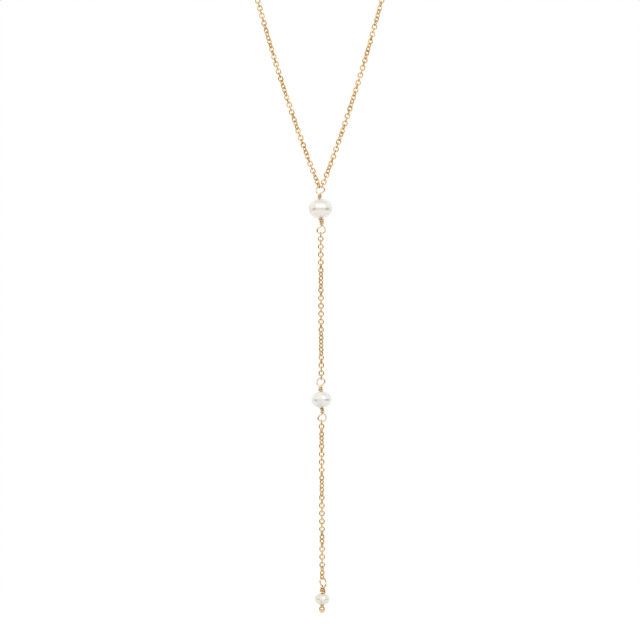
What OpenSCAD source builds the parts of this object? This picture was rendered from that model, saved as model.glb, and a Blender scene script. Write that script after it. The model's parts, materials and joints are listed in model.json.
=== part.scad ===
// Fine chain necklace: a loop for the neck that hangs as a V, and below it a long drop
// of three pearls on wrapped wire, joined by chain. +Z is up and the drop hangs on the
// -Y side. The origin is where the loop rests on the neck, in the middle of the clasp.

/* [Neck loop] */
// Height of the neck rest above the join of the V
loop_fall = 150; // [142:1:158]
// Distance of the join in front of the neck rest
loop_reach = 116; // [108:1:124]
// Steepness of each side at the join, as rise over run
join_slope = 2.385; // [2.3:0.005:2.5]
// Curve of the hanging sides, as the length of a catenary
sag = 47; // [44:1:50]
// How far each side turns back from the front plane, in degrees
side_turn = 20; // [10:1:30]
// Half of the distance between the first links of the two sides
join_half = 0.39; // [0.37:0.01:0.42]
// Links modelled one by one on each side
front_links = 53; // [40:1:54]

/* [Chain] */
// Wire of the links
link_wire = 0.25; // [0.24:0.01:0.27]
// Outer width of a link
link_w = 1.38; // [1.34:0.01:1.42]
// Distance from one link to the next
pitch = 1.028; // [1.01:0.002:1.04]
// Play between two links
play = 0.105; // [0.1:0.005:0.12]
// Play between a link and a wrapped loop
hook_play = 0.13; // [0.12:0.01:0.15]

/* [Drop] */
// Links between the first and the second pearl
drop_links_1 = 37; // [20:1:45]
// Links between the second and the third pearl
drop_links_2 = 40; // [20:1:45]
// Wire of the wrapped loops
wire = 0.32; // [0.3:0.01:0.32]
// Wire of the pin through the last pearl
pin_wire = 0.36; // [0.34:0.01:0.38]
// Hole through each pearl
bore = 0.6; // [0.5:0.05:0.7]
// Width of the ball below the last pearl
ball_w = 1.8; // [1.5:0.02:2]

/* [Clasp] */
// Middle diameter of the clasp's ring
ring_d = 5.2; // [4.5:0.1:6]
// Thickness of the clasp's ring
ring_wire = 1.1; // [0.9:0.1:1.3]

/* [Hidden] */

GOLD = "gold";
PALE_GOLD = "khaki";
PEARL = "ivory";

LEFT = -1;
RIGHT = 1;

// Pearls, from the join down. Columns: width, height, lean of the wire through it.
WIDTH = 0;
HEIGHT = 1;
LEAN = 2;
PEARLS = [
    [6.00, 5.00, -4],
    [5.17, 4.13, -4],
    [3.98, 2.94, 2]];

// Wrapped wire ends, from the join down. Columns: width and height of the loop, how
// pointed it is, length of the wrap, its turns, how far it widens at the pearl, turn about Z,
// how far the loop bows to the right, side where the wire rises into it.
LOOP_W = 0;
LOOP_H = 1;
POINT = 2;
WRAP = 3;
WRAP_TURNS = 4;
FLARE = 5;
TURN = 6;
BOW = 7;
RISE = 8;
ABOVE_1 = [2.16, 2.26, 0.15, 1.09, 2.08, 0.00, 0, 0.16, LEFT];
BELOW_1 = [2.10, 2.35, 0.40, 1.72, 3.25, 0.18, 0, -0.08, RIGHT];
ABOVE_2 = [2.08, 2.32, 0.40, 1.20, 2.15, 0.10, 0, 0.04, LEFT];
BELOW_2 = [2.10, 2.33, 0.50, 1.30, 2.25, 0.00, 0, 0, RIGHT];
ABOVE_3 = [2.06, 2.46, 0.30, 1.62, 3.20, 0.30, 50, 0, RIGHT];

// Turn of the links about their chain. Columns: number of the link, degrees, where 0
// shows every second link flat from the front.
LEFT_TURNS = [[0, -65], [2, -45], [4, 0], [6, 0], [9, 48], [13, 90], [14, 90], [16, 125],
    [18, 150], [21, 180], [22, 180], [31, 270], [33, 270], [36, 290], [42, 325], [46, 360],
    [54, 360]];
RIGHT_TURNS = [[0, 90], [2, 90], [4, 130], [6, 155], [8, 180], [11, 180], [13, 213],
    [15, 240], [18, 270], [19, 270], [22, 310], [25, 333], [29, 360], [32, 360], [35, 388],
    [38, 415], [41, 450], [43, 450], [45, 493], [47, 505], [50, 530], [54, 540]];
DROP_TURNS_1 = [[0, 90], [7, 90], [10, 127], [13, 147], [16, 180], [22, 180], [25, 215],
    [30, 235], [33, 270], [45, 270]];
DROP_TURNS_2 = [[0, 90], [1, 90], [3, 130], [5, 140], [8, 180], [12, 180], [14, 213],
    [17, 228], [20, 262], [22, 270], [27, 270], [32, 360], [35, 360], [38, 400], [45, 405]];

// Links
link_l = pitch + 2 * link_wire + play;
bend_r = (link_w - link_wire) / 2;
straight_l = link_l - link_w;
hook = link_l / 2 - link_wire - wire / 2 - hook_play;
quarter_turn = 90;

// Wrapped wire
wire_sides = 6;
wrap_gap = 0.1;
wrap_steps = 7;
corner_cut = norm([0.75 + 0.25 * cos(360 / wrap_steps), 0.25 * sin(360 / wrap_steps)]);
loop_steps = 14;
corner_rise = 0.36;
seat = 0.05;

// Sides of the V
join = [0, -loop_reach, -loop_fall];
hang_l = 75;
loop_round = 0.08;

// Back of the neck loop
back_tube_d = 1.4;
back_sides = 8;
hang_rings = 6;
neck_rings = 32;
shoulder_pull = 60;
neck_pull = 80;
chain_gap = 0.2;

// Clasp
eye_r = 0.55;
eye_wire = 0.32;
eye_x = (ring_d + ring_wire) / 2 + eye_r - 0.1;
neck_end_x = eye_x + eye_r + eye_wire;

// Ball, round above and tapered below
collar_d = 0.95;
collar_h = 0.4;
collar_bite = 0.12;
ball_top = 0.76;
ball_low = 1.08;
ball_taper = 1.25;
ball_steps = 24;

function reverse(list) = [for (i = [len(list) - 1 : -1 : 0]) list[i]];
function unit(v) = v / norm(v);
function asinh(x) = ln(x + sqrt(x * x + 1));
function about_y(p, a) = [p.x * cos(a) + p.z * sin(a), p.y, p.z * cos(a) - p.x * sin(a)];
function about_z(p, a) = [p.x * cos(a) - p.y * sin(a), p.x * sin(a) + p.y * cos(a), p.z];
function upside_down(p) = [p.x, -p.y, -p.z];

// Heights along the drop, in its own frame with the join at zero
function loop_lean(pearl, end) = -asin((pearl[HEIGHT] / 2 + end[WRAP]) * sin(pearl[LEAN]) / end[LOOP_H]);
function end_l(pearl, end) = (pearl[HEIGHT] / 2 + end[WRAP]) * cos(pearl[LEAN])
    + end[LOOP_H] * cos(loop_lean(pearl, end));
function strand_l(links) = 2 * hook + (links - 1) * pitch;
pearl_z_1 = -end_l(PEARLS[0], ABOVE_1);
strand_z_1 = pearl_z_1 - end_l(PEARLS[0], BELOW_1);
pearl_z_2 = strand_z_1 - strand_l(drop_links_1) - end_l(PEARLS[1], ABOVE_2);
strand_z_2 = pearl_z_2 - end_l(PEARLS[1], BELOW_2);
pearl_z_3 = strand_z_2 - strand_l(drop_links_2) - end_l(PEARLS[2], ABOVE_3);

// How far the wire of the first loop lies below its top where a side hangs on it
function hook_drop(side) = loop_round + side * join_half * tan(loop_lean(PEARLS[0], ABOVE_1));

// Route of one side, measured along the chain from the join
function hang_slope(s) = join_slope + s / sag;
function hang_point(side, s) =
    let (
        run = sag * (asinh(hang_slope(s)) - asinh(join_slope)),
        rise = sag * (norm([1, hang_slope(s)]) - norm([1, join_slope])))
    join + [side * (join_half + run * cos(side_turn)), run * sin(side_turn), rise - hook_drop(side)];
function hang_way(side, s) = unit([side * cos(side_turn), sin(side_turn), hang_slope(s)]);
function link_at(k) = hook + k * pitch;
tube_start = link_at(front_links - 1) + link_l / 2 + chain_gap;

// Route round the neck, as one smooth curve from the top of the hanging side to the clasp
function neck_point(side, t) =
    let (
        a = hang_point(side, hang_l),
        b = a + shoulder_pull * hang_way(side, hang_l),
        d = [side * neck_end_x, 0, 0],
        c = d + [side * neck_pull, 0, 0],
        u = 1 - t)
    u * u * u * a + 3 * u * u * t * b + 3 * u * t * t * c + t * t * t * d;
function back_route(side) = concat(
    [for (i = [0 : hang_rings - 1]) hang_point(side, tube_start + (hang_l - tube_start) * i / hang_rings)],
    [for (i = [0 : neck_rings]) neck_point(side, i / neck_rings)]);

// Points of one wrapped end, from the cut end of the wire to the stem, above a bead of
// half height h that stands at zero, in wire of thickness w
function wrap_r(w) = w + wrap_gap;
function wrap_points(end, w) =
    let (
        low = seat + w / 2,
        turns = end[WRAP_TURNS],
        steps = ceil(turns * wrap_steps))
    [for (i = [0 : steps])
        let (
            f = i / steps,
            a = -90 - 360 * turns * (1 - f),
            r = (wrap_r(w) + end[FLARE] * (1 - f)) / corner_cut)
        [end[RISE] * r * cos(a), r * sin(a), low + (end[WRAP] - low) * f]];
function widest(point) = let (s = (1 + point) / (2 + point)) 2 * pow(s, (1 + point) / 2) * sqrt(1 - s);
function loop_points(end, lean, w) =
    [for (i = [1 : loop_steps]) if (i != loop_steps - 1)
        let (
            t = i / loop_steps,
            b = sin(180 * t),
            x = end[RISE] * end[LOOP_W] / 2 * sin(360 * t) * pow(b, end[POINT]) / widest(end[POINT])
                + 4 * end[BOW] * b * b * (1 - b * b),
            y = t < 0.5 ? -wrap_r(w) / corner_cut * (1 - b * b) : 0,
            p = [x, y, end[LOOP_H] * b * b + corner_rise * t * (1 - b * b)])
        about_y(about_z(p, end[TURN]), lean * b) + [0, 0, end[WRAP]]];
function end_points(pearl, end, w) =
    let (h = pearl[HEIGHT] / 2, lean = loop_lean(pearl, end) - pearl[LEAN])
    [for (p = concat(
            [for (q = wrap_points(end, w)) about_z(q, end[TURN])],
            loop_points(end, lean, w),
            [[0, 0, end[WRAP] / 2]]))
        about_y(p + [0, 0, h], pearl[LEAN])];

// The same points with the corners cut, for a round bend
function rounded(p) = concat([p[0]],
    [for (i = [0 : len(p) - 2]) each [0.75 * p[i] + 0.25 * p[i + 1], 0.25 * p[i] + 0.75 * p[i + 1]]],
    [p[len(p) - 1]]);

function heading(p, i) = unit(p[min(i + 1, len(p) - 1)] - p[max(i - 1, 0)]);
function square_to(v, way) = unit(v - (v * way) * way);
function sideways(p) =
    [for (
        i = 0, s = square_to([0.3, 1, 0.2], heading(p, 0));
        i < len(p);
        i = i + 1, s = i < len(p) ? square_to(s, heading(p, i)) : s) s];

// A round bar of radius r along the points of a route
module bar(route, r, sides) {
    side = sideways(route);
    last = len(route) - 1;
    corners = [for (i = [0 : last], j = [0 : sides - 1])
        let (u = side[i], v = cross(heading(route, i), u), a = 360 * j / sides)
        route[i] + r * (cos(a) * u + sin(a) * v)];
    walls = [for (i = [0 : last - 1], j = [0 : sides - 1])
        let (k = (j + 1) % sides)
        [i * sides + j, (i + 1) * sides + j, (i + 1) * sides + k, i * sides + k]];
    start = [for (j = [0 : sides - 1]) j];
    finish = [for (j = [sides - 1 : -1 : 0]) last * sides + j];
    polyhedron(points = corners, faces = concat([start, finish], walls));
}

// One oval link, flat in the XZ plane
module link() {
    for (end = [0, 180])
        rotate([0, end, 0]) translate([0, 0, straight_l / 2]) rotate([90, 0, 0])
            rotate_extrude(angle = 180, $fn = 24) translate([bend_r, 0]) circle(d = link_wire, $fn = 24);
    for (side = [LEFT, RIGHT])
        translate([side * bend_r, 0, -straight_l / 2]) cylinder(d = link_wire, h = straight_l, $fn = 24);
}

// One link at a point of a route, turned about the route's own direction
module link_on(at, way, turn)
    translate(at) rotate([0, acos(way.z), atan2(way.y, way.x)]) rotate([0, 0, turn]) link();

module side_chain(side, turns) {
    for (k = [0 : front_links - 1]) {
        way = hang_way(side, link_at(k));
        flat = -atan(way.z * way.y / way.x);
        link_on(hang_point(side, link_at(k)), way, flat + lookup(k, turns) + quarter_turn * (k % 2));
    }
}

module strand(top_z, links, turns)
    for (k = [0 : links - 1])
        link_on(join + [0, 0, top_z - hook - k * pitch], [0, 0, 1],
            lookup(k, turns) + quarter_turn * (k % 2));

// A pearl with its hole, standing on the wire's lean
module pearl(row, z) {
    r = row[HEIGHT] / 2;
    translate(join + [0, 0, z]) rotate([0, row[LEAN], 0])
        rotate_extrude($fn = 64)
            difference() {
                translate([row[WIDTH] / 2 - r, 0]) circle(r = r, $fn = 64);
                translate([-row[WIDTH], -r - 1]) square([row[WIDTH] + bore / 2, 2 * r + 2]);
            }
}

module left_front_chain() color(GOLD) side_chain(LEFT, LEFT_TURNS);

module right_front_chain() color(GOLD) side_chain(RIGHT, RIGHT_TURNS);

module left_back_chain() color(GOLD) bar(back_route(LEFT), back_tube_d / 2, back_sides);

module right_back_chain() color(GOLD) bar(back_route(RIGHT), back_tube_d / 2, back_sides);

module clasp() color(GOLD) {
    rotate([90, 0, 0]) rotate_extrude($fn = 48) translate([ring_d / 2, 0]) circle(d = ring_wire, $fn = 24);
    for (side = [LEFT, RIGHT])
        translate([side * eye_x, 0, 0]) rotate([90, 0, 0])
            rotate_extrude($fn = 24) translate([eye_r, 0]) circle(d = eye_wire, $fn = 24);
}

module wire_link(row, above, below, z)
    translate(join + [0, 0, z])
        bar(rounded(concat(end_points(row, above, wire),
                reverse([for (p = end_points([row[WIDTH], row[HEIGHT], -row[LEAN]], below, wire))
                    upside_down(p)]))),
            wire / 2, wire_sides);

module wire_link_1() color(PALE_GOLD) wire_link(PEARLS[0], ABOVE_1, BELOW_1, pearl_z_1);

module wire_link_2() color(PALE_GOLD) wire_link(PEARLS[1], ABOVE_2, BELOW_2, pearl_z_2);

module drop_chain_1() color(GOLD) strand(strand_z_1, drop_links_1, DROP_TURNS_1);

module drop_chain_2() color(GOLD) strand(strand_z_2, drop_links_2, DROP_TURNS_2);

// The ball, turned about Z, with its widest level at zero
module ball()
    rotate_extrude($fn = 48) polygon([for (i = [0 : ball_steps])
        let (a = 180 * i / ball_steps)
        a < 90
            ? [ball_w / 2 * sin(a), ball_top * cos(a)]
            : [ball_w / 2 * pow(sin(a), ball_taper), ball_low * cos(a)]]);

module head_pin() color(PALE_GOLD) {
    row = PEARLS[2];
    face = -row[HEIGHT] / 2 - seat;
    ball_z = face - collar_h - ball_top + collar_bite;
    foot = about_y([0, 0, face - collar_h / 2], row[LEAN]);
    translate(join + [0, 0, pearl_z_3]) {
        bar(rounded(concat(end_points(row, ABOVE_3, pin_wire), [foot])), pin_wire / 2, wire_sides);
        rotate([0, row[LEAN], 0]) {
            translate([0, 0, face - collar_h]) cylinder(d = collar_d, h = collar_h, $fn = 32);
            translate([0, 0, ball_z]) ball();
        }
    }
}

module pearl_1() color(PEARL) pearl(PEARLS[0], pearl_z_1);

module pearl_2() color(PEARL) pearl(PEARLS[1], pearl_z_2);

module pearl_3() color(PEARL) pearl(PEARLS[2], pearl_z_3);

left_front_chain();
right_front_chain();
left_back_chain();
right_back_chain();
clasp();
wire_link_1();
pearl_1();
drop_chain_1();
wire_link_2();
pearl_2();
drop_chain_2();
head_pin();
pearl_3();
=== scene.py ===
# Looks of the chain necklace with the long pearl drop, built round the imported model.
# Lengths are in millimetres until a mesh is made, and then in metres.
import json
import math

import bpy
from mathutils import Matrix, Vector, noise

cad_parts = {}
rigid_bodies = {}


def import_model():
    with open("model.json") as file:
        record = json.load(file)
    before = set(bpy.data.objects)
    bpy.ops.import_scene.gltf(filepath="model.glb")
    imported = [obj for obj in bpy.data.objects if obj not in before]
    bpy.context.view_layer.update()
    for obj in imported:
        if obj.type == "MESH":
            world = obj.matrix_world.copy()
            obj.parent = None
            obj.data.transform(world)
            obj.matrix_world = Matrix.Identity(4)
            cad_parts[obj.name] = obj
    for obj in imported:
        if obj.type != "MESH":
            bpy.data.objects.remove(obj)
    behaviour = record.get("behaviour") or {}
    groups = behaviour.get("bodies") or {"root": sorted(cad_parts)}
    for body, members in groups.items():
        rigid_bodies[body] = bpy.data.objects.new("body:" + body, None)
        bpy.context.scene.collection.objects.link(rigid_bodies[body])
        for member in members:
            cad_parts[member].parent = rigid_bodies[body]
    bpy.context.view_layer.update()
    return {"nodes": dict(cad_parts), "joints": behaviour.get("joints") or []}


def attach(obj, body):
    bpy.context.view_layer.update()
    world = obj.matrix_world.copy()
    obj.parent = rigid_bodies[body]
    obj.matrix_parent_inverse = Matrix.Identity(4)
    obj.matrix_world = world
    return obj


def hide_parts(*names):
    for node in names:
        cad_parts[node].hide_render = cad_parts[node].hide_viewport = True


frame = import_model()

MM = 0.001
JOIN = Vector(frame["joints"][0]["pos_m"]) / MM
NECK_BODY = frame["joints"][0]["parent"]
DROP_BODY = frame["joints"][0]["child"]
UP = Vector((0, 0, 1))
LEFT = -1
RIGHT = 1

# Camera, from the photograph's own scale
PHOTO_PX = 640
MM_PER_PX = 0.26
JOIN_PX_X = 320.5
JOIN_PX_Y = 186.2
LEAN_DEG = 0.25
LENS = 200
SENSOR = 36
CAMERA_AWAY = PHOTO_PX * MM_PER_PX * LENS / SENSOR
CLIP_M = (0.01, 50)

# The chain, as in the part
LINK_WIRE = 0.25
LINK_W = 1.38
PITCH = 1.028
PLAY = 0.105
HOOK_PLAY = 0.13
WIRE = 0.32
LINK_L = PITCH + 2 * LINK_WIRE + PLAY
BEND_R = (LINK_W - LINK_WIRE) / 2
STRAIGHT = LINK_L - LINK_W
HOOK = LINK_L / 2 - LINK_WIRE - WIRE / 2 - HOOK_PLAY
FRONT_LINKS = 53

# The drop, as in the part. Pearls: width, height, lean of the wire through it.
WIDTH, HEIGHT, LEAN = range(3)
PEARLS = [(6.00, 5.00, -4), (5.17, 4.13, -4), (3.98, 2.94, 2)]
BORE = 0.6
DROP_LINKS = (37, 40)
# Wrapped ends: width and height of the loop, how pointed it is, length of the wrap, its
# turns, how far it widens at the pearl, turn about Z, how far the loop bows to the right,
# side where the wire rises into it
LOOP_W, LOOP_H, POINT, WRAP, WRAP_TURNS, FLARE, TURN, BOW, RISE = range(9)
ABOVE = [
    (2.16, 2.26, 0.15, 1.09, 2.08, 0.00, 0, 0.16, LEFT),
    (2.08, 2.32, 0.40, 1.20, 2.15, 0.10, 0, 0.04, LEFT),
    (2.06, 2.46, 0.30, 1.62, 3.20, 0.30, 50, 0, RIGHT)]
BELOW = [
    (2.10, 2.35, 0.40, 1.72, 3.25, 0.18, 0, -0.08, RIGHT),
    (2.10, 2.33, 0.50, 1.30, 2.25, 0.00, 0, 0, RIGHT)]
PIN_WIRE = 0.36
WRAP_GAP = 0.1
WRAP_STEPS = 7
LOOP_STEPS = 14
CORNER_RISE = 0.36
SEAT = 0.05
BALL_W = 1.8
BALL_TOP = 0.76
BALL_LOW = 1.08
BALL_TAPER = 1.25
COLLAR_W = 0.95
COLLAR_H = 0.4
COLLAR_BITE = 0.12
COLLAR_EDGE = 0.06
# How far the ball reaches up into the collar
BALL_SINK = 0.02

# The sides and the back of the neck loop, as in the part
JOIN_SLOPE = 2.385
SAG = 47
SIDE_TURN = math.radians(20)
JOIN_HALF = 0.39
LOOP_ROUND = 0.08
HANG_L = 75
SHOULDER_PULL = 60
NECK_PULL = 80
EYE_X = 3.6
EYE_R = 0.55
EYE_WIRE = 0.32
NECK_END_X = EYE_X + EYE_R + EYE_WIRE


def unit(v):
    return v.normalized()


def about_y(p, a):
    return Matrix.Rotation(a, 3, "Y") @ p


def about_z(p, a):
    return Matrix.Rotation(a, 3, "Z") @ p


# Meshes

def make_object(name, verts, faces, smooth=True):
    mesh = bpy.data.meshes.new(name)
    mesh.from_pydata([tuple(v * MM) for v in verts], [], faces)
    mesh.polygons.foreach_set("use_smooth", [smooth] * len(mesh.polygons))
    mesh.update()
    obj = bpy.data.objects.new(name, mesh)
    bpy.context.scene.collection.objects.link(obj)
    return obj


def grid_faces(rows, cols, first=0, closed_rows=False):
    """Quads of a grid whose columns close on themselves, and whose rows may too."""
    faces = []
    for i in range(rows if closed_rows else rows - 1):
        for j in range(cols):
            here = first + i * cols
            there = first + ((i + 1) % rows) * cols
            k = (j + 1) % cols
            faces.append((here + j, here + k, there + k, there + j))
    return faces


# Direction that the first ring of a bar starts from
FIRST_SIDE = Vector((0.3, 1, 0.2))


def crosswise(route):
    """Two directions across a route at each of its points, carried along it without twist."""
    last = len(route) - 1
    side = FIRST_SIDE
    pairs = []
    for i in range(last + 1):
        way = unit(route[min(i + 1, last)] - route[max(i - 1, 0)])
        side = unit(side - side.dot(way) * way)
        pairs.append((side, way.cross(side)))
    return pairs


def bar(route, radius, sides):
    """Vertices and faces of a round bar along a route, with flat ends."""
    verts = []
    for p, (u, v) in zip(route, crosswise(route)):
        for j in range(sides):
            a = 2 * math.pi * j / sides
            verts.append(p + radius * (math.cos(a) * u + math.sin(a) * v))
    faces = grid_faces(len(route), sides)
    last = (len(route) - 1) * sides
    faces.append(tuple(range(sides - 1, -1, -1)))
    faces.append(tuple(range(last, last + sides)))
    return verts, faces


def lathe(profile, sides):
    """Vertices and faces of a solid turned about Z, from (radius, height) points pole to pole."""
    verts = [Vector((0, 0, profile[0][1]))]
    for r, z in profile[1:-1]:
        for j in range(sides):
            a = 2 * math.pi * j / sides
            verts.append(Vector((r * math.cos(a), r * math.sin(a), z)))
    verts.append(Vector((0, 0, profile[-1][1])))
    end = len(verts) - 1
    ring = len(profile) - 3
    faces = grid_faces(len(profile) - 2, sides, first=1)
    for j in range(sides):
        k = (j + 1) % sides
        faces.append((0, 1 + k, 1 + j))
        faces.append((end, 1 + ring * sides + j, 1 + ring * sides + k))
    return verts, faces


def joined(parts):
    verts = []
    faces = []
    for part_verts, part_faces in parts:
        first = len(verts)
        verts += part_verts
        faces += [tuple(first + i for i in face) for face in part_faces]
    return verts, faces


# Materials

def new_material(name):
    material = bpy.data.materials.new(name)
    material.use_nodes = True
    tree = material.node_tree
    tree.nodes.clear()
    out = tree.nodes.new("ShaderNodeOutputMaterial")
    shader = tree.nodes.new("ShaderNodeBsdfPrincipled")
    tree.links.new(shader.outputs["BSDF"], out.inputs["Surface"])
    coords = tree.nodes.new("ShaderNodeTexCoord")
    return material, tree, shader, coords.outputs["Object"]


def noise_node(tree, place, scale, detail, rough=0.5):
    node = tree.nodes.new("ShaderNodeTexNoise")
    node.inputs["Scale"].default_value = scale
    node.inputs["Detail"].default_value = detail
    node.inputs["Roughness"].default_value = rough
    tree.links.new(place, node.inputs["Vector"])
    return node.outputs["Fac"]


def colour_between(tree, factor, stops):
    ramp = tree.nodes.new("ShaderNodeValToRGB")
    while len(ramp.color_ramp.elements) < len(stops):
        ramp.color_ramp.elements.new(0.5)
    for element, (at, colour) in zip(ramp.color_ramp.elements, stops):
        element.position = at
        element.color = (*colour, 1)
    tree.links.new(factor, ramp.inputs["Fac"])
    return ramp.outputs["Color"]


def bump(tree, height, strength, distance):
    node = tree.nodes.new("ShaderNodeBump")
    node.inputs["Strength"].default_value = strength
    node.inputs["Distance"].default_value = distance
    tree.links.new(height, node.inputs["Height"])
    return node.outputs["Normal"]


# Nearly all of a noise lies between these
NOISE_LOW = 0.3
NOISE_HIGH = 0.7


def remap(tree, value, low, high):
    """A noise stretched to lie between low and high."""
    node = tree.nodes.new("ShaderNodeMapRange")
    node.inputs["From Min"].default_value = NOISE_LOW
    node.inputs["From Max"].default_value = NOISE_HIGH
    node.inputs["To Min"].default_value = low
    node.inputs["To Max"].default_value = high
    tree.links.new(value, node.inputs["Value"])
    return node.outputs["Result"]


def maths(tree, kind, *values):
    node = tree.nodes.new("ShaderNodeMath")
    node.operation = kind
    for socket, value in zip(node.inputs, values):
        if isinstance(value, (int, float)):
            socket.default_value = value
        else:
            tree.links.new(value, socket)
    return node.outputs[0]


def smooth_range(tree, value, start, end):
    """Nothing at the start and one at the end, with a smooth change between."""
    node = tree.nodes.new("ShaderNodeMapRange")
    node.interpolation_type = "SMOOTHSTEP"
    node.inputs["From Min"].default_value = start
    node.inputs["From Max"].default_value = end
    tree.links.new(value, node.inputs["Value"])
    return node.outputs["Result"]


def band(tree, value, rise, fall):
    """One between the rise and the fall, nothing outside them."""
    risen = smooth_range(tree, value, *rise)
    return maths(tree, "MULTIPLY", risen, smooth_range(tree, value, fall[1], fall[0]))


# Gold. Scales are per metre, and the marks are those of drawing the wire.
GOLD_TONE_SCALE = 900
GOLD_POLISH_SCALE = 2600
GOLD_MARK_SCALE = 5200
GOLD_MARK_ROUGH = 0.6
GOLD_MARK_STRENGTH = 0.25
GOLD_MARK_DEPTH = 0.00002
GOLD_DEEP_AT = 0.35
GOLD_LIGHT_AT = 0.65
CHAIN_POLISH = (0.14, 0.24)
WIRE_POLISH = (0.12, 0.22)


def gold(name, light, deep, roughness):
    """Polished gold with slight changes of tone and polish along the wire."""
    material, tree, shader, place = new_material(name)
    shader.inputs["Metallic"].default_value = 1.0
    tone = noise_node(tree, place, GOLD_TONE_SCALE, detail=3)
    stops = [(GOLD_DEEP_AT, deep), (GOLD_LIGHT_AT, light)]
    tree.links.new(colour_between(tree, tone, stops), shader.inputs["Base Color"])
    polish = noise_node(tree, place, GOLD_POLISH_SCALE, detail=2)
    tree.links.new(remap(tree, polish, *roughness), shader.inputs["Roughness"])
    marks = noise_node(tree, place, GOLD_MARK_SCALE, detail=4, rough=GOLD_MARK_ROUGH)
    normal = bump(tree, marks, GOLD_MARK_STRENGTH, GOLD_MARK_DEPTH)
    tree.links.new(normal, shader.inputs["Normal"])
    return material


# Nacre. Scales are changes over half of a pearl's width.
TONE_SCALE = 1
GRAIN_SCALE = 3
# Tones at which a pearl is rose, cream and green
TONE_STOPS = (0.25, 0.5, 0.75)
# How much of the tone is cloudy
CLOUD = 0.5
NACRE_IOR = 1.5
NACRE_ROUGHNESS = (0.29, 0.36)
GLOSS_IOR = 2.8
GLOSS_ROUGHNESS = 0.08
# Gloss that is left in the matt patch
DULL = 0.1


def nacre(name, centre, half, colours, lie, matt):
    """White pearl: a milky body under a clear gloss, with faint overtones and a matt patch.

    Half is half of its width in metres, and lie is how the tone changes to the right,
    upward, and upward on the right.
    """
    material, tree, shader, place = new_material(name)
    local = tree.nodes.new("ShaderNodeVectorMath")
    local.operation = "SUBTRACT"
    local.inputs[1].default_value = centre
    tree.links.new(place, local.inputs[0])
    split = tree.nodes.new("ShaderNodeSeparateXYZ")
    tree.links.new(local.outputs["Vector"], split.inputs["Vector"])
    across = maths(tree, "DIVIDE", split.outputs["X"], half)
    upward = maths(tree, "DIVIDE", split.outputs["Z"], half)
    cloud = noise_node(tree, place, TONE_SCALE / half, detail=3)
    tone = maths(tree, "MULTIPLY_ADD", cloud, CLOUD, 0.5 - CLOUD / 2)
    tone = maths(tree, "MULTIPLY_ADD", across, lie[0], tone)
    tone = maths(tree, "MULTIPLY_ADD", upward, lie[1], tone)
    corner = maths(tree, "MULTIPLY", across, upward)
    tone = maths(tree, "MULTIPLY_ADD", corner, lie[2], tone)
    stops = list(zip(TONE_STOPS, colours))
    tree.links.new(colour_between(tree, tone, stops), shader.inputs["Base Color"])
    shader.inputs["IOR"].default_value = NACRE_IOR
    clear = maths(tree, "MULTIPLY_ADD", band(tree, across, *matt), DULL - 1, 1)
    tree.links.new(clear, shader.inputs["Coat Weight"])
    shader.inputs["Coat Roughness"].default_value = GLOSS_ROUGHNESS
    shader.inputs["Coat IOR"].default_value = GLOSS_IOR
    grain = noise_node(tree, place, GRAIN_SCALE / half, detail=3)
    tree.links.new(remap(tree, grain, *NACRE_ROUGHNESS), shader.inputs["Roughness"])
    return material


CHAIN_GOLD = gold("chain_gold", (0.90, 0.69, 0.48), (0.71, 0.57, 0.29), CHAIN_POLISH)
WIRE_GOLD = gold("wire_gold", (0.835, 0.715, 0.615), (0.725, 0.635, 0.455), WIRE_POLISH)
# The turns of a wrap shade each other, so its part of the same wire is painted lighter against
# that shade
WRAP_GOLD_PAINTED_LIGHTER = gold("wrap_gold_painted_lighter", (0.92, 0.785, 0.64), (0.83, 0.72, 0.48), WIRE_POLISH)
PIN_GOLD = gold("pin_gold", (0.91, 0.75, 0.62), (0.79, 0.66, 0.43), WIRE_POLISH)
BALL_GOLD = gold("ball_gold", (0.91, 0.77, 0.68), (0.80, 0.68, 0.51), WIRE_POLISH)


def wear(obj, material):
    obj.data.materials.clear()
    obj.data.materials.append(material)


# Camera and stage

def make_camera():
    data = bpy.data.cameras.new("camera")
    data.lens = LENS
    data.sensor_width = SENSOR
    data.clip_start, data.clip_end = CLIP_M
    camera = bpy.data.objects.new("camera", data)
    lean = math.radians(LEAN_DEG)
    right = (JOIN_PX_X - PHOTO_PX / 2) * MM_PER_PX
    above = (PHOTO_PX / 2 - JOIN_PX_Y) * MM_PER_PX
    across = right * math.cos(lean) + above * math.sin(lean)
    upward = above * math.cos(lean) - right * math.sin(lean)
    camera.location = (JOIN + Vector((-across, -CAMERA_AWAY, -upward))) * MM
    camera.rotation_euler = (math.pi / 2, lean, 0)
    bpy.context.scene.collection.objects.link(camera)
    bpy.context.scene.camera = camera


# Display curve that is near linear, so that wire finer than a pixel keeps its strength on white
DISPLAY_GAMMA = 0.5
FLOOR_Z = -300
FLOOR_R = 500
FLOOR_SIDES = 64
FLOOR_GREY = (0.3, 0.3, 0.3, 1)
FLOOR_ROUGHNESS = 0.8
FLOOR_GLOW = 0.66


def floor_material():
    """Matt floor that glows enough to come out white."""
    material, _, shader, _ = new_material("studio_floor")
    material.cycles.emission_sampling = "NONE"
    shader.inputs["Base Color"].default_value = FLOOR_GREY
    shader.inputs["Roughness"].default_value = FLOOR_ROUGHNESS
    shader.inputs["Emission Color"].default_value = (1, 1, 1, 1)
    shader.inputs["Emission Strength"].default_value = FLOOR_GLOW
    return material


def make_floor():
    verts = [Vector((0, 0, FLOOR_Z))]
    for j in range(FLOOR_SIDES):
        a = 2 * math.pi * j / FLOOR_SIDES
        verts.append(Vector((FLOOR_R * math.cos(a), FLOOR_R * math.sin(a), FLOOR_Z)))
    faces = [(0, 1 + j, 1 + (j + 1) % FLOOR_SIDES) for j in range(FLOOR_SIDES)]
    floor = make_object("floor", verts, faces, smooth=False)
    wear(floor, floor_material())


# Brightness of the studio and of what is in it
SKY = 0.95
ZENITH = 0.75
GAP = 0.25
SOFTBOX = 1.9
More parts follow.
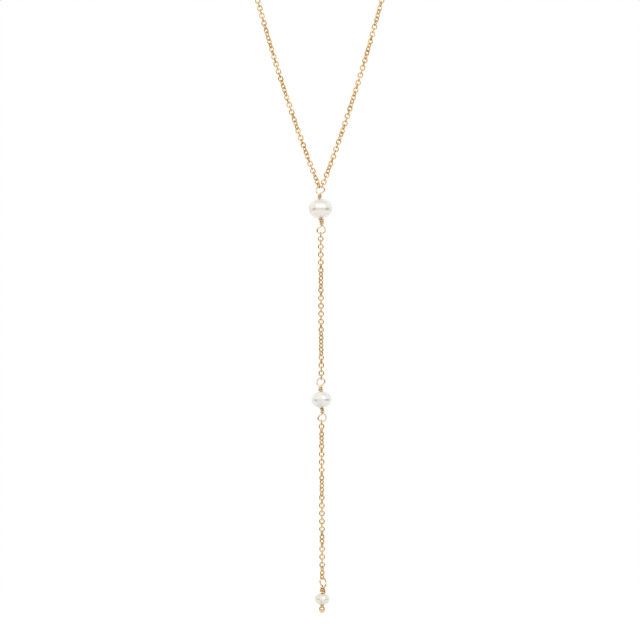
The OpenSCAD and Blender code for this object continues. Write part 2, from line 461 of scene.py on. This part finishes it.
# Where each lies: how high a direction points, from -1 to 1, and how far it is turned
# aside from the camera's side, in radians. A pair is where a change starts and ends.
ZENITH_RISE = (0.6, 0.9)
GAP_RISE = (-0.42, -0.18)
GAP_FALL = (0.05, 0.22)
GAP_ASIDE = (1.8, 1.35)
GAP_DEEPENS = (0.7, 0.88)
GAP_FRONT_SHARE = 0.25
BOX_RISE = (0.14, 0.42)
BOX_FALL = (0.80, 0.88)
BOX_ASIDE = (0.92, 0.74)
# The studio as matt surfaces see it, even so that they come out free of grain: its
# brightness at eye level, and how much brighter it is straight up
EVEN_SKY = 1.06
EVEN_RISE = 0.35


def make_world():
    """White studio with a softbox above the camera and a gap below it, darkest at both sides."""
    world = bpy.data.worlds.new("studio")
    bpy.context.scene.world = world
    world.use_nodes = True
    tree = world.node_tree
    tree.nodes.clear()
    out = tree.nodes.new("ShaderNodeOutputWorld")
    shade = tree.nodes.new("ShaderNodeBackground")
    tree.links.new(shade.outputs["Background"], out.inputs["Surface"])
    coords = tree.nodes.new("ShaderNodeTexCoord")
    split = tree.nodes.new("ShaderNodeSeparateXYZ")
    tree.links.new(coords.outputs["Generated"], split.inputs["Vector"])
    height = split.outputs["Z"]
    before = maths(tree, "MULTIPLY", split.outputs["Y"], -1)
    aside = maths(tree, "ABSOLUTE", maths(tree, "ARCTAN2", split.outputs["X"], before))
    gap_level = band(tree, height, GAP_RISE, GAP_FALL)
    gap_front = smooth_range(tree, aside, *GAP_ASIDE)
    deeper = smooth_range(tree, aside, *GAP_DEEPENS)
    gap_depth = maths(tree, "MULTIPLY_ADD", deeper, 1 - GAP_FRONT_SHARE, GAP_FRONT_SHARE)
    gap = maths(tree, "MULTIPLY", maths(tree, "MULTIPLY", gap_level, gap_front), gap_depth)
    box_level = band(tree, height, BOX_RISE, BOX_FALL)
    box_front = smooth_range(tree, aside, *BOX_ASIDE)
    box = maths(tree, "MULTIPLY", box_level, box_front)
    overhead = smooth_range(tree, height, *ZENITH_RISE)
    brightness = maths(tree, "MULTIPLY_ADD", overhead, ZENITH - SKY, SKY)
    brightness = maths(tree, "MULTIPLY_ADD", gap, GAP - SKY, brightness)
    brightness = maths(tree, "MULTIPLY_ADD", box, SOFTBOX - SKY, brightness)
    ray = tree.nodes.new("ShaderNodeLightPath")
    even = maths(tree, "MULTIPLY_ADD", height, EVEN_RISE, EVEN_SKY)
    change = maths(tree, "SUBTRACT", even, brightness)
    brightness = maths(tree, "MULTIPLY_ADD", ray.outputs["Is Diffuse Ray"], change, brightness)
    backdrop = ray.outputs["Is Camera Ray"]
    tree.links.new(maths(tree, "MAXIMUM", brightness, backdrop), shade.inputs["Strength"])
    shade.inputs["Color"].default_value = (1, 1, 1, 1)
    world.cycles.sampling_method = "NONE"


make_camera()
make_floor()
make_world()
bpy.context.scene.view_settings.view_transform = "Standard"
bpy.context.scene.view_settings.gamma = DISPLAY_GAMMA


# Wrapped wire

def loop_lean(pearl, end):
    """Lean of a loop that brings its top back above the pearl's middle."""
    lean = math.radians(pearl[LEAN])
    return -math.asin((pearl[HEIGHT] / 2 + end[WRAP]) * math.sin(lean) / end[LOOP_H])


def end_l(pearl, end):
    """Height from a pearl's middle to the far end of its loop."""
    wrapped = (pearl[HEIGHT] / 2 + end[WRAP]) * math.cos(math.radians(pearl[LEAN]))
    return wrapped + end[LOOP_H] * math.cos(loop_lean(pearl, end))


# Share of a stretch that rounding cuts off at each end
CUT = 0.25


def corner_cut(steps):
    """How far cutting the corners of a ring of so many steps draws it in."""
    a = 2 * math.pi / steps
    return math.hypot(1 - CUT + CUT * math.cos(a), CUT * math.sin(a))


CORNER_CUT = corner_cut(WRAP_STEPS) * corner_cut(2 * WRAP_STEPS)


def wrap_points(end, wire):
    wrap, turns, flare = end[WRAP], end[WRAP_TURNS], end[FLARE]
    low = SEAT + wire / 2
    steps = math.ceil(turns * WRAP_STEPS)
    points = []
    for i in range(steps + 1):
        f = i / steps
        a = -math.pi / 2 - 2 * math.pi * turns * (1 - f)
        r = (wire + WRAP_GAP + flare * (1 - f)) / CORNER_CUT
        x = end[RISE] * r * math.cos(a)
        points.append(Vector((x, r * math.sin(a), low + (wrap - low) * f)))
    return points


def widest(point):
    """Widest half of a loop that is pointed so much, before it is scaled to its own width."""
    s = (1 + point) / (2 + point)
    return 2 * s ** ((1 + point) / 2) * math.sqrt(1 - s)


def loop_points(end, lean, wire):
    """Points of a loop on top of its wrap, of which the last but one is left out."""
    width, height, point = end[LOOP_W], end[LOOP_H], end[POINT]
    points = []
    for i in range(1, LOOP_STEPS + 1):
        if i == LOOP_STEPS - 1:
            continue
        t = i / LOOP_STEPS
        b = max(0, math.sin(math.pi * t))
        x = end[RISE] * width / 2 * math.sin(2 * math.pi * t) * b ** point / widest(point)
        x += 4 * end[BOW] * b * b * (1 - b * b)
        y = -(wire + WRAP_GAP) / CORNER_CUT * (1 - b * b) if t < 0.5 else 0
        z = height * b * b + CORNER_RISE * t * (1 - b * b)
        p = about_z(Vector((x, y, z)), math.radians(end[TURN]))
        points.append(about_y(p, lean * b) + UP * end[WRAP])
    return points


def end_points(pearl, end, wire):
    """Points of one end of the wire, from its cut end round the wrap and loop to the stem."""
    lean = math.radians(pearl[LEAN])
    points = [about_z(p, math.radians(end[TURN])) for p in wrap_points(end, wire)]
    points += loop_points(end, loop_lean(pearl, end) - lean, wire)
    points.append(UP * end[WRAP] / 2)
    return [about_y(p + UP * pearl[HEIGHT] / 2, lean) for p in points]


def rounded(points):
    cut = [points[0]]
    for a, b in zip(points, points[1:]):
        cut.append((1 - CUT) * a + CUT * b)
        cut.append(CUT * a + (1 - CUT) * b)
    cut.append(points[-1])
    return cut


def upside_down(p):
    return Vector((p.x, -p.y, -p.z))


def below_points(pearl, end):
    width, height, lean = pearl
    turned = end_points((width, height, -lean), end, WIRE)
    return [upside_down(p) for p in reversed(turned)]


def strand_l(links):
    return 2 * HOOK + (links - 1) * PITCH


pearl_z = [-end_l(PEARLS[0], ABOVE[0])]
strand_z = []
for n in (1, 2):
    strand_z.append(pearl_z[n - 1] - end_l(PEARLS[n - 1], BELOW[n - 1]))
    pearl_z.append(strand_z[n - 1] - strand_l(DROP_LINKS[n - 1]) - end_l(PEARLS[n], ABOVE[n]))

WIRE_SIDES = 14
ROUNDINGS = 2
BALL_STEPS = 30
BALL_SIDES = 48


def smoothed(points):
    for _ in range(ROUNDINGS):
        points = rounded(points)
    return points


def place_on_drop(verts, z):
    return [v + JOIN + UP * z for v in verts]


def dress(obj, material, body, slot, *nodes):
    wear(obj, material)
    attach(obj, body)
    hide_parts(*nodes)


def wrap_rings(end):
    """How many rings of the smoothed wire lie in the wrap at one of its ends."""
    return (math.ceil(end[WRAP_TURNS] * WRAP_STEPS) + 1) * 2 ** ROUNDINGS


for n in (0, 1):
    route = smoothed(end_points(PEARLS[n], ABOVE[n], WIRE) + below_points(PEARLS[n], BELOW[n]))
    verts, faces = bar(route, WIRE / 2, WIRE_SIDES)
    piece = make_object("wrapped_wire_%d" % (n + 1), place_on_drop(verts, pearl_z[n]), faces)
    dress(piece, WIRE_GOLD, DROP_BODY, "wire_gold", "wire_link_%d" % (n + 1))
    # The wraps' faces take the gold painted lighter against the shade of their turns
    piece.data.materials.append(WRAP_GOLD_PAINTED_LIGHTER)
    above_end = wrap_rings(ABOVE[n])
    below_start = len(route) - wrap_rings(BELOW[n])
    for i, face in enumerate(piece.data.polygons):
        if not above_end <= i // WIRE_SIDES < below_start:
            face.material_index = 1


def ball_profile():
    """Half outline of the collar and the ball from the top of the collar down."""
    face = -PEARLS[2][HEIGHT] / 2 - SEAT
    foot = face - COLLAR_H
    r = COLLAR_W / 2
    points = [(0, face), (r - COLLAR_EDGE, face), (r, face - COLLAR_EDGE), (r, foot + COLLAR_EDGE)]
    centre = foot - BALL_TOP + COLLAR_BITE
    top = math.acos((foot + BALL_SINK - centre) / BALL_TOP)
    for i in range(BALL_STEPS + 1):
        a = top + (math.pi - top) * i / BALL_STEPS
        if a < math.pi / 2:
            points.append((BALL_W / 2 * math.sin(a), centre + BALL_TOP * math.cos(a)))
        else:
            r = BALL_W / 2 * max(0, math.sin(a)) ** BALL_TAPER
            points.append((r, centre + BALL_LOW * math.cos(a)))
    return points


def make_head_pin():
    pearl = PEARLS[2]
    lean = math.radians(pearl[LEAN])
    foot = about_y(UP * (-pearl[HEIGHT] / 2 - SEAT - COLLAR_H / 2), lean)
    route = smoothed(end_points(pearl, ABOVE[2], PIN_WIRE) + [foot])
    wire = bar(route, PIN_WIRE / 2, WIRE_SIDES)
    turned, turned_faces = lathe(ball_profile(), BALL_SIDES)
    ball = [about_y(v, lean) for v in turned], turned_faces
    verts, faces = joined([wire, ball])
    piece = make_object("head_pin_wire_and_ball", place_on_drop(verts, pearl_z[2]), faces)
    dress(piece, PIN_GOLD, DROP_BODY, "wire_gold", "head_pin")
    piece.data.materials.append(BALL_GOLD)
    for face in piece.data.polygons[len(wire[1]):]:
        face.material_index = 1


make_head_pin()


# Pearls

PEARL_SIDES = 144
PEARL_STEPS = 96
BORE_STEPS = 4
# How uneven each pearl is: share of its height, and where in the noise it lies
UNEVEN = [(0.022, 3.1), (0.026, 7.7), (0.030, 12.4)]
SWELL_SCALE = 1.1
SWELL_FADE = 1.5
# Each pearl's colours where it is rose, cream and green. Then how much greener it grows to
# the right, upward, and upward on the right. Then the two edges of its matt patch, from the
# left, as shares of half of its width.
OVERTONES = [
    (((0.83, 0.75, 0.71), (0.795, 0.775, 0.725), (0.775, 0.775, 0.72)),
     (0.12, 0.06, 0.0), ((-1.3, -1.0), (-0.9, -0.7))),
    (((0.81, 0.755, 0.74), (0.775, 0.768, 0.742), (0.75, 0.775, 0.74)),
     (-0.08, 0.05, 0.0), ((-0.5, -0.3), (0.05, 0.2))),
    (((0.81, 0.705, 0.675), (0.745, 0.735, 0.675), (0.69, 0.765, 0.675)),
     (0.0, 0.0, 0.4), ((-0.45, -0.3), (-0.1, 0.1)))]


def make_pearl(n):
    width, height = PEARLS[n][WIDTH], PEARLS[n][HEIGHT]
    lean = math.radians(PEARLS[n][LEAN])
    uneven, seed = UNEVEN[n]
    r = height / 2
    offset = width / 2 - r
    start = math.asin((BORE / 2 - offset) / r)
    verts = []
    for i in range(PEARL_STEPS + 1):
        a = start + (math.pi - 2 * start) * i / PEARL_STEPS
        for j in range(PEARL_SIDES):
            b = 2 * math.pi * j / PEARL_SIDES
            out = Vector((math.sin(a) * math.cos(b), math.sin(a) * math.sin(b), math.cos(a)))
            away = offset + r * math.sin(a)
            p = Vector((away * math.cos(b), away * math.sin(b), r * math.cos(a)))
            fade = max(0.0, math.sin(a)) ** SWELL_FADE
            swell = noise.noise(out * SWELL_SCALE + Vector((seed, 0, 0)))
            verts.append(p + out * (swell * uneven * height * fade))
    for i in range(1, BORE_STEPS):
        z = -r + 2 * r * i / BORE_STEPS
        for j in range(PEARL_SIDES):
            b = 2 * math.pi * j / PEARL_SIDES
            verts.append(Vector((BORE / 2 * math.cos(b), BORE / 2 * math.sin(b), z)))
    inward = grid_faces(PEARL_STEPS + BORE_STEPS, PEARL_SIDES, closed_rows=True)
    faces = [tuple(reversed(face)) for face in inward]
    verts = place_on_drop([about_y(v, lean) for v in verts], pearl_z[n])
    piece = make_object("nacre_pearl_%d" % (n + 1), verts, faces)
    centre = (JOIN + UP * pearl_z[n]) * MM
    coat = nacre("nacre_%d" % (n + 1), centre, width / 2 * MM, *OVERTONES[n])
    dress(piece, coat, DROP_BODY, "pearl", "pearl_%d" % (n + 1))


for n in range(3):
    make_pearl(n)


# Chain round the neck

def hang_slope(s):
    return JOIN_SLOPE + s / SAG


def hook_drop(side):
    return LOOP_ROUND + side * JOIN_HALF * math.tan(loop_lean(PEARLS[0], ABOVE[0]))


def hang_point(side, s):
    run = SAG * (math.asinh(hang_slope(s)) - math.asinh(JOIN_SLOPE))
    rise = SAG * (math.hypot(1, hang_slope(s)) - math.hypot(1, JOIN_SLOPE))
    x = side * (JOIN_HALF + run * math.cos(SIDE_TURN))
    return JOIN + Vector((x, run * math.sin(SIDE_TURN), rise - hook_drop(side)))


def hang_way(side, s):
    return unit(Vector((side * math.cos(SIDE_TURN), math.sin(SIDE_TURN), hang_slope(s))))


def neck_point(side, t):
    a = hang_point(side, HANG_L)
    b = a + SHOULDER_PULL * hang_way(side, HANG_L)
    d = Vector((side * NECK_END_X, 0, 0))
    c = d + Vector((side * NECK_PULL, 0, 0))
    u = 1 - t
    return u * u * u * a + 3 * u * u * t * b + 3 * u * t * t * c + t * t * t * d


HANG_STEPS = 60
ROUTE_STEPS = 600


def back_route(side, start):
    """Fine points of the chain from a place on the hanging side to the clasp's eye."""
    left = HANG_L - start
    route = [hang_point(side, start + left * i / HANG_STEPS) for i in range(HANG_STEPS)]
    route += [neck_point(side, i / ROUTE_STEPS) for i in range(ROUTE_STEPS + 1)]
    return route


def evenly(route, gap):
    """Places and directions along a route, as near to a gap apart as divides it evenly."""
    lengths = [0.0]
    for a, b in zip(route, route[1:]):
        lengths.append(lengths[-1] + (b - a).length)
    count = round(lengths[-1] / gap)
    spots = []
    i = 0
    for k in range(count + 1):
        s = lengths[-1] * k / count
        while i < len(route) - 2 and lengths[i + 1] < s:
            i += 1
        way = route[i + 1] - route[i]
        f = (s - lengths[i]) / way.length
        spots.append((route[i] + way * f, unit(way)))
    return spots


LINK_BEND_STEPS = 8
LINK_SIDES = 8


def link_mesh():
    """One oval link flat in the XZ plane, as rings of a closed bar."""
    route = []
    for end in (1, -1):
        for i in range(LINK_BEND_STEPS + 1):
            a = math.pi * i / LINK_BEND_STEPS
            x = end * BEND_R * math.cos(a)
            z = end * (STRAIGHT / 2 + BEND_R * math.sin(a))
            route.append(Vector((x, 0, z)))
    verts = []
    count = len(route)
    for i, p in enumerate(route):
        way = unit(route[(i + 1) % count] - route[i - 1])
        u = Vector((0, 1, 0))
        v = way.cross(u)
        for j in range(LINK_SIDES):
            a = 2 * math.pi * j / LINK_SIDES
            verts.append(p + LINK_WIRE / 2 * (math.cos(a) * u + math.sin(a) * v))
    return verts, grid_faces(count, LINK_SIDES, closed_rows=True)


QUARTER_TURN = 90
# Slow wander of the links' turn: degrees, and links for each radian of its wave
SHORT_WAVE = (30, 9)
LONG_WAVE = (75, 31)
# Links from the clasp over which the long wave dies out, and the turn settles
CALM_LINKS = 20
SETTLE_LINKS = 12


def back_turn(k, count):
    """Turn of a hidden link in degrees, square to the clasp's eye at the last one."""
    away = count - k
    short = SHORT_WAVE[0] * math.sin(k / SHORT_WAVE[1])
    turn = short + LONG_WAVE[0] * math.sin(k / LONG_WAVE[1]) * min(1, away / CALM_LINKS)
    turn += QUARTER_TURN * ((FRONT_LINKS - 1 + k) % 2)
    if away >= SETTLE_LINKS:
        return turn
    level = QUARTER_TURN + QUARTER_TURN * (away % 2)
    return level + (turn - level) * (away / SETTLE_LINKS)


def make_back_chain(name, side, node):
    link_verts, link_faces = link_mesh()
    start = HOOK + (FRONT_LINKS - 1) * PITCH
    spots = evenly(back_route(side, start), PITCH)
    count = len(spots) - 1
    parts = []
    for k, (place, way) in enumerate(spots[1:], 1):
        aim = Matrix.Rotation(math.atan2(way.y, way.x), 3, "Z")
        tilt = Matrix.Rotation(math.acos(way.z), 3, "Y")
        turned = aim @ tilt @ Matrix.Rotation(math.radians(back_turn(k, count)), 3, "Z")
        parts.append(([turned @ v + place for v in link_verts], link_faces))
    verts, faces = joined(parts)
    piece = make_object(name, verts, faces)
    dress(piece, CHAIN_GOLD, NECK_BODY, "chain_gold", node)


make_back_chain("left_back_links", LEFT, "left_back_chain")
make_back_chain("right_back_links", RIGHT, "right_back_chain")


# Finish of the pieces that keep their solids

for node in ("left_front_chain", "right_front_chain", "drop_chain_1", "drop_chain_2", "clasp"):
    wear(frame["nodes"][node], CHAIN_GOLD)
